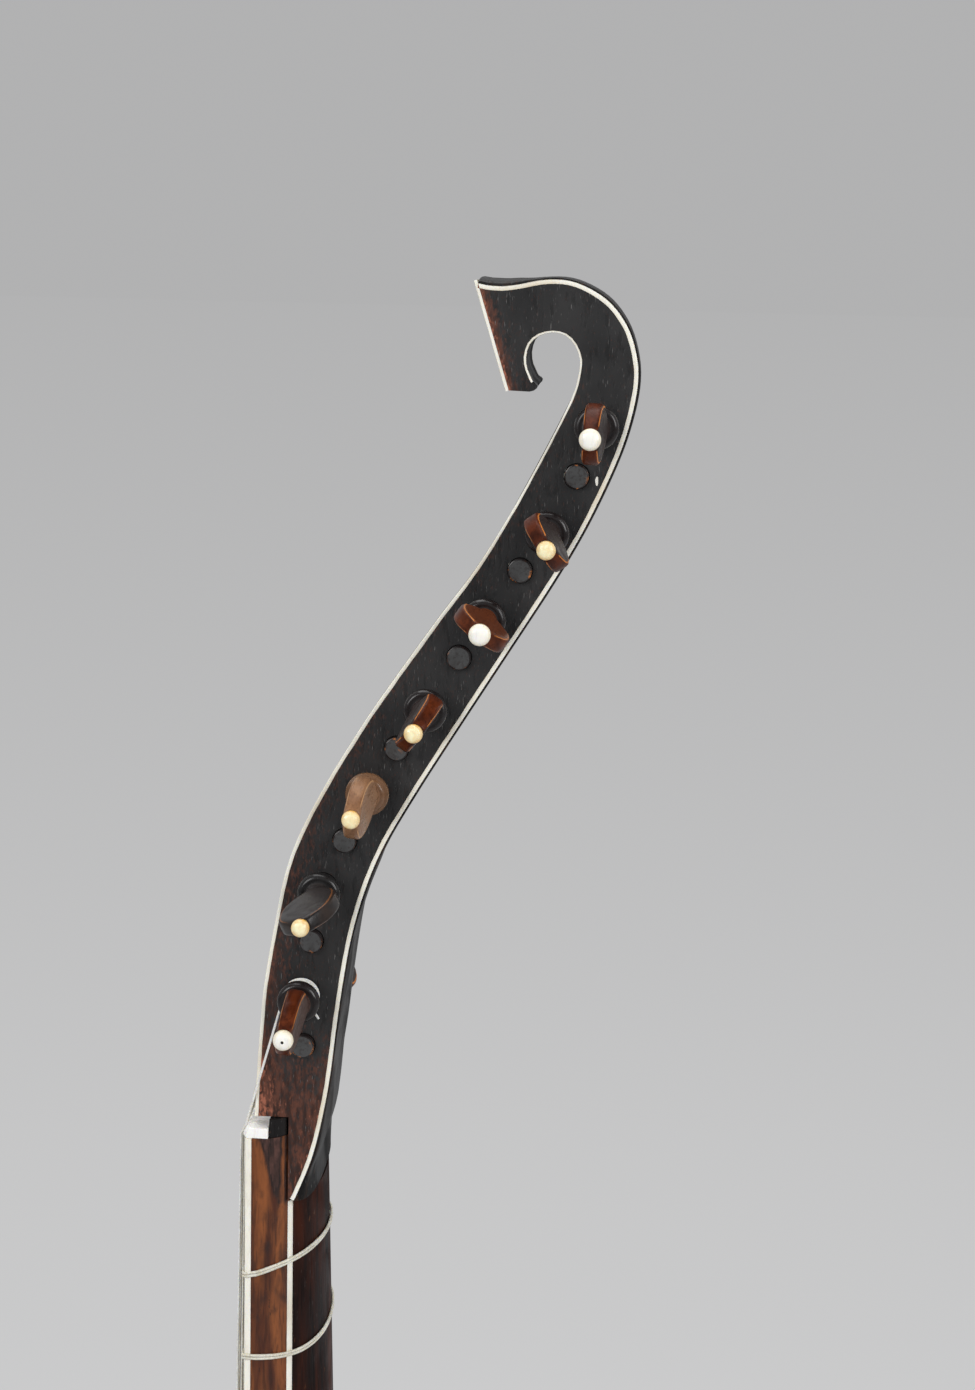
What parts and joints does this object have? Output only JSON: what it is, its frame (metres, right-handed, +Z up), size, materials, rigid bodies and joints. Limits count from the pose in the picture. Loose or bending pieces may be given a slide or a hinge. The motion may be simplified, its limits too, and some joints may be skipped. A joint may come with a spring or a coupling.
{
  "type": "mandola",
  "caption": "Small bowl-backed mandola of the lute family with a sickle-shaped pegbox, turning side pegs in double courses, tied gut frets and a curled flat-faced head.",
  "frame": {"origin": "centre of the strap button's end face, the lowest point of the instrument", "axes": "+Z up along the neck to the head, -Y out of the playing face, +X to the treble side"},
  "size_m": [0.264, 0.1277, 0.8415],
  "materials": {
    "ebony": "semi-gloss",
    "neck_wood": "satin",
    "rib_wood": "gloss",
    "peg_wood": "gloss",
    "spruce": "matte",
    "bone": "satin",
    "gut": "satin"
  },
  "bodies": {
    "instrument": {"soundboard": "spruce", "rose": "spruce", "neck_block": "spruce", "tail_block": "spruce", "bowl": "rib_wood", "end_clasp": "ebony", "strap_button": "bone", "bridge": "ebony", "neck": "neck_wood", "fingerboard": "ebony", "nut": "bone", "edging_treble": "bone", "edging_bass": "bone", "side_line_treble": "bone", "side_line_bass": "bone", "cheek_treble": "ebony", "cheek_bass": "ebony", "pegbox_back": "ebony", "front_line_treble": "bone", "front_line_bass": "bone", "back_line_treble": "bone", "back_line_bass": "bone", "head_block": "ebony", "head_plate": "bone", "fret_1": "gut", "fret_2": "gut", "fret_3": "gut", "fret_4": "gut", "fret_5": "gut", "fret_6": "gut", "fret_7": "gut", "fret_8": "gut", "string_1": "gut", "string_2": "gut", "string_3": "gut", "string_4": "gut", "string_5": "gut", "string_6": "gut", "string_7": "gut", "string_8": "gut", "string_9": "gut", "string_10": "gut", "string_11": "gut", "string_12": "gut", "string_13": "gut", "string_14": "gut"},
    "treble_peg_1": {"peg_treble_1": "peg_wood"},
    "treble_peg_2": {"peg_treble_2": "peg_wood"},
    "treble_peg_3": {"peg_treble_3": "peg_wood"},
    "treble_peg_4": {"peg_treble_4": "peg_wood"},
    "treble_peg_5": {"peg_treble_5": "peg_wood"},
    "treble_peg_6": {"peg_treble_6": "peg_wood"},
    "treble_peg_7": {"peg_treble_7": "peg_wood"},
    "bass_peg_1": {"peg_bass_1": "peg_wood"},
    "bass_peg_2": {"peg_bass_2": "peg_wood"},
    "bass_peg_3": {"peg_bass_3": "peg_wood"},
    "bass_peg_4": {"peg_bass_4": "peg_wood"},
    "bass_peg_5": {"peg_bass_5": "peg_wood"},
    "bass_peg_6": {"peg_bass_6": "peg_wood"},
    "bass_peg_7": {"peg_bass_7": "peg_wood"}
  },
  "joints": [
    {"name": "turn_treble_1", "type": "hinge", "parent": "instrument", "child": "treble_peg_1", "pos_m": [0.02153, -0.0004, 0.66506], "axis": [1, 0, 0], "continuous": true},
    {"name": "turn_treble_2", "type": "hinge", "parent": "instrument", "child": "treble_peg_2", "pos_m": [0.02071, 0.0044, 0.69256], "axis": [1, 0, 0], "continuous": true},
    {"name": "turn_treble_3", "type": "hinge", "parent": "instrument", "child": "treble_peg_3", "pos_m": [0.01995, 0.0158, 0.71776], "axis": [1, 0, 0], "continuous": true},
    {"name": "turn_treble_4", "type": "hinge", "parent": "instrument", "child": "treble_peg_4", "pos_m": [0.01933, 0.0295, 0.73866], "axis": [1, 0, 0], "continuous": true},
    {"name": "turn_treble_5", "type": "hinge", "parent": "instrument", "child": "treble_peg_5", "pos_m": [0.01866, 0.0431, 0.76086], "axis": [1, 0, 0], "continuous": true},
    {"name": "turn_treble_6", "type": "hinge", "parent": "instrument", "child": "treble_peg_6", "pos_m": [0.01803, 0.0575, 0.78196], "axis": [1, 0, 0], "continuous": true},
    {"name": "turn_treble_7", "type": "hinge", "parent": "instrument", "child": "treble_peg_7", "pos_m": [0.01727, 0.0684, 0.80706], "axis": [1, 0, 0], "continuous": true},
    {"name": "turn_bass_1", "type": "hinge", "parent": "instrument", "child": "bass_peg_1", "pos_m": [-0.02193, 0, 0.65186], "axis": [1, 0, 0], "continuous": true},
    {"name": "turn_bass_2", "type": "hinge", "parent": "instrument", "child": "bass_peg_2", "pos_m": [-0.02112, 0.0018, 0.67886], "axis": [1, 0, 0], "continuous": true},
    {"name": "turn_bass_3", "type": "hinge", "parent": "instrument", "child": "bass_peg_3", "pos_m": [-0.02035, 0.0098, 0.70456], "axis": [1, 0, 0], "continuous": true},
    {"name": "turn_bass_4", "type": "hinge", "parent": "instrument", "child": "bass_peg_4", "pos_m": [-0.01965, 0.0222, 0.72796], "axis": [1, 0, 0], "continuous": true},
    {"name": "turn_bass_5", "type": "hinge", "parent": "instrument", "child": "bass_peg_5", "pos_m": [-0.01896, 0.0369, 0.75076], "axis": [1, 0, 0], "continuous": true},
    {"name": "turn_bass_6", "type": "hinge", "parent": "instrument", "child": "bass_peg_6", "pos_m": [-0.01832, 0.0511, 0.77226], "axis": [1, 0, 0], "continuous": true},
    {"name": "turn_bass_7", "type": "hinge", "parent": "instrument", "child": "bass_peg_7", "pos_m": [-0.01763, 0.064, 0.79506], "axis": [1, 0, 0], "continuous": true}
  ]
}
